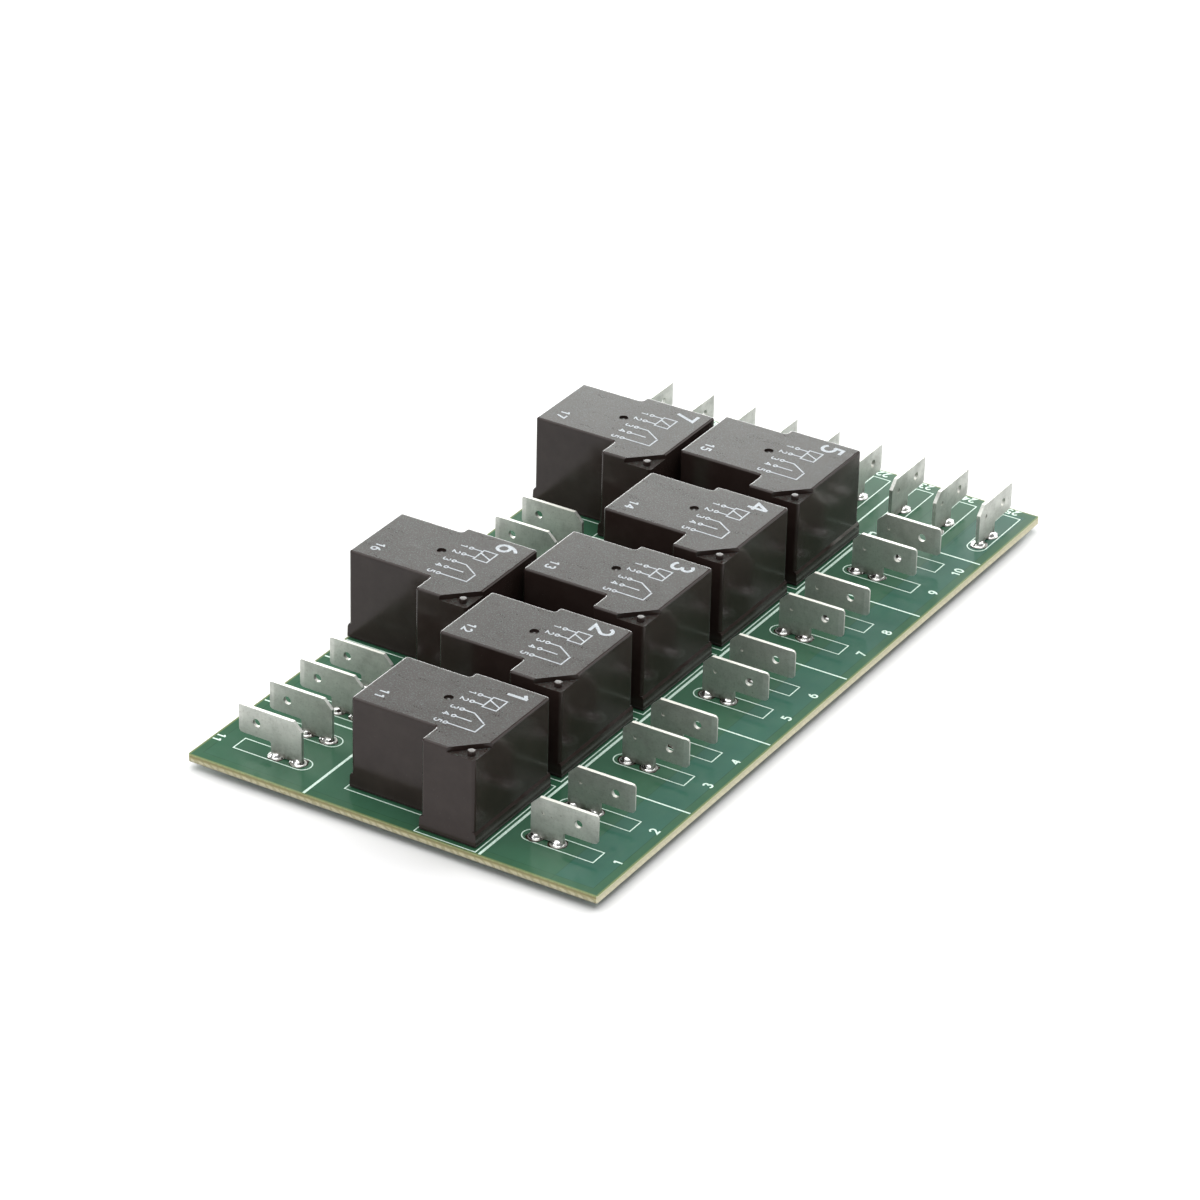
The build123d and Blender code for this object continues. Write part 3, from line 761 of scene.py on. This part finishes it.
# Lines between the groups of blades, which leave a margin at the board's edges
side_margin = 0.6
near_margin = 0.4
right_edge = board_high.x - side_margin
left_edge = board_low.x + side_margin
near_edge = board_low.y + near_margin
right_column = 20.95
right_rows = [-56.45, -24.89, 6.82, 38.45, 65.75]
left_column = -20.35
left_rows = [-66.35, -44.65]
far_column = 1.5 * far_pitch
far_column_end = 84.0
legend_line([(right_column, near_edge), (right_column, right_rows[-1])], wide_line)
for y in right_rows:
    legend_line([(right_column, y), (right_edge, y)], medium_line, level=1)
legend_line([(far_column, right_rows[-1]), (far_column, far_column_end)], medium_line)
legend_line([(left_column, near_edge), (left_column, left_rows[-1])], wide_line)
for y in left_rows:
    legend_line([(left_edge, y), (left_column, y)], medium_line, level=1)


def grown(corners, reach):
    """Corners of a square-cornered outline moved outwards."""
    moved = []
    for i, corner in enumerate(corners):
        here = Vector(corner)
        a = (here - Vector(corners[i - 1])).normalized()
        b = (Vector(corners[(i + 1) % len(corners)]) - here).normalized()
        moved.append(here + reach * (Vector((a.y, -a.x)) + Vector((b.y, -b.x))))
    return moved


# An outline about each relay, which stays open where the relay stands at the board's edge
relay_outline_gap = 0.95
near_board_edge = 1
for number in relay_numbers:
    place = on_board(relay_seat(number))
    path = grown(housing_corners, relay_outline_gap)
    if place.translation.x < board_low.x + near_board_edge:
        path = [(0, path[0].y)] + path[1:-1] + [(0, path[-1].y)]
    else:
        path = path + path[:1]
    legend_line(path, thin_line, place, level=1 + number)

# A plain number at each blade
label_height = 1.9
label_weight = 0.4
right_label_x, right_label_shift = 45.0, 0.6
left_label_x, left_label_shift = -46.6, -0.4
far_label_y, far_label_shift = 90.9, -0.8
for number, name in enumerate(blade_names, start=1):
    x, y = blade_seat(name).translation.xy
    if "right" in name:
        spot = seat(right_label_x, y + right_label_shift, board_top, 90)
    elif "left" in name:
        spot = seat(left_label_x, y + left_label_shift, board_top, -90)
    else:
        spot = seat(x + far_label_shift, far_label_y, board_top, 180)
    figures(legend, number, label_height, label_weight, ink_height, spot)
board_ink = make_ink("board_ink", (0.66, 0.80, 0.72), (0.42, 0.58, 0.48))
legend.piece("board_legend", board_ink, "silkscreen")


# Printed number and contact diagram on each relay's roof, which reads towards the near side
marks = Shape()
print_height = 0.015
number_place, number_height, number_weight = (27.2, 18.4), 4.6, 0.75
second_place, second_height, second_weight = (4.3, 4.6), 2.1, 0.4
second_series = 10
diagram_place = (20.2, 15.4)
diagram_weight = 0.32
pin_figure_y, pin_figure_height, pin_figure_weight = -1.3, 1.6, 0.28
ring_y = 0.45
ring_radius = 0.42
lead_foot = 0.9
coil_foot, coil_head, coil_right = 3.2, 6.4, 4.2
slash_foot, slash_head = (1.3, coil_foot), (2.9, coil_head)
arm_foot, arm_tip = 3.4, (9.6, 7.0)
open_head = 4.6
contact_start, contact_head = 9.7, 7.3
pin_places = [0.6, 3.6, 7.2, 10.2, 13.2]
coil_lead, other_coil_lead, arm_lead, open_lead, contact_lead = pin_places
diagram = [
    [(0, coil_foot), (coil_right, coil_foot), (coil_right, coil_head), (0, coil_head), (0, coil_foot)],
    [slash_foot, slash_head],
    [(coil_lead, lead_foot), (coil_lead, coil_foot)],
    [(other_coil_lead, lead_foot), (other_coil_lead, coil_foot)],
    [(arm_lead, lead_foot), (arm_lead, arm_foot), arm_tip],
    [(open_lead, lead_foot), (open_lead, open_head)],
    [(contact_start, contact_head), (contact_lead, contact_head), (contact_lead, lead_foot)],
]
for number in relay_numbers:
    roof = relay_seat(number) @ seat(0, 0, roof_height)
    number_seat = roof @ seat(*number_place, 0, -90)
    figures(marks, number, number_height, number_weight, print_height, number_seat)
    second_seat = roof @ seat(*second_place, 0, -90)
    second = second_series + number
    figures(marks, second, second_height, second_weight, print_height, second_seat)
    diagram_seat = roof @ seat(*diagram_place, 0, -90)
    for level, path in enumerate(diagram, start=1):
        printed(marks, path, diagram_weight, 0, print_height, diagram_seat, level)
    for pin_number, x in enumerate(pin_places, start=1):
        ring = arc(x, ring_y, ring_radius, ring_radius, 0, 360)
        printed(marks, ring, diagram_weight, 0, print_height, diagram_seat)
        pin_seat = diagram_seat @ seat(x, pin_figure_y)
        figures(marks, pin_number, pin_figure_height, pin_figure_weight, print_height, pin_seat)
relay_ink = make_ink("relay_ink", (0.42, 0.45, 0.48), (0.22, 0.24, 0.26))
marks.piece("relay_marks", relay_ink, "silkscreen")


# Torn faces of the vent nib and of the gate in its dimple, on each relay
cuts = Shape()
nib_radii, nib_height, nib_drop, nib_wobble = (0.64, 0.64), 0.06, 0.1, 0.1
gate_radii, gate_height, gate_depth, gate_wobble = (0.42, 0.42), 0.3, 0.6, 0.2
for number in relay_numbers:
    place = relay_seat(number)
    bead(cuts, *vent_nib, nib_radii, nib_height, roof_height - nib_drop, place, nib_wobble)
    bead(cuts, *gate_mark, gate_radii, gate_height, roof_height - gate_depth, place, gate_wobble)
cuts.piece("relay_cut_marks", make_cut_plastic(), "housing_plastic", smooth=True)


# Copper under the mask on the underside: wide tracks from the contact pins to the right blades
tracks = Shape()
track_width = 4.2
track_lead = 4.0
track_end = 6.5
for number in column_relays:
    first_level = 2 * (number % 2)
    for level, (x, y) in enumerate(contact_pins, start=first_level):
        start = relay_seat(number) @ Vector((x, y, 0))
        ends = [blade_seat(name).translation for name in right_blades]
        end = min(ends, key=lambda spot: abs(spot.y - start.y))
        path = [
            (start.x, start.y),
            (start.x + track_lead, start.y),
            (end.x - track_lead, end.y),
            (end.x + track_end, end.y),
        ]
        track_foot = board_foot - copper_height - level * ink_step
        tracks.line(path, track_width, track_foot, board_foot)
tracks.piece("underside_tracks", make_pour(), "solder_mask")


# Floor and lights
floor_reach = 6.0
floor_sides = [(-1, -1), (1, -1), (1, 1), (-1, 1)]
floor_corners = [(x * floor_reach, y * floor_reach, 0) for x, y in floor_sides]
floor_mesh = bpy.data.meshes.new("floor")
floor_mesh.from_pydata(floor_corners, [], [[0, 1, 2, 3]])
floor_mesh.materials.append(make_floor_paint())
floor = bpy.data.objects.new("floor", floor_mesh)
bpy.context.scene.collection.objects.link(floor)

world = bpy.data.worlds.new("studio")
world.use_nodes = True
background = world.node_tree.nodes["Background"]
background.inputs["Color"].default_value = (1, 1, 1, 1)
background.inputs["Strength"].default_value = 0.3
bpy.context.scene.world = world
bpy.context.scene.view_settings.view_transform = "Standard"


def softbox(name, place, target, width, height, radiance, tint=(1, 1, 1)):
    """Large soft light in metres, whose face has the given radiance."""
    light = bpy.data.lights.new(name, "AREA")
    light.shape = "RECTANGLE"
    light.size = width
    light.size_y = height
    light.energy = radiance * math.pi * width * height
    light.color = tint
    made = bpy.data.objects.new(name, light)
    made.location = place
    made.rotation_mode = "QUATERNION"
    made.rotation_quaternion = (Vector(target) - Vector(place)).to_track_quat("-Z", "Y")
    made.visible_camera = False
    bpy.context.scene.collection.objects.link(made)


softbox("overhead", (0, 0, 1.3), (0, 0, 0), 2.0, 2.0, 2.6)
# What the relays' roofs, the mask and the blades mirror behind the board, from low to high
softbox("backdrop_low", (-0.62, 1.03, 0.21), (0, 0, 0.21), 1.8, 0.42, 11.6, (0.972, 1.0, 0.98))
softbox("backdrop_middle", (-0.30, 1.16, 0.58), (0, 0, 0.58), 0.84, 0.13, 1.1)
softbox("backdrop_high", (-0.30, 1.16, 0.88), (0, 0, 0.88), 0.84, 0.4, 0.15)
softbox("backdrop_right", (0.64, 1.06, 0.62), (0, 0, 0.62), 1.1, 0.7, 1.9)
# What the near faces and the blades' faces mirror in front of it
softbox("front_left", (-0.62, -1.03, 0.62), (0, 0, 0.62), 1.2, 0.7, 1.9)
softbox("front_right", (0.62, -1.05, 0.85), (0, 0, 0.85), 1.4, 0.7, 0.15)
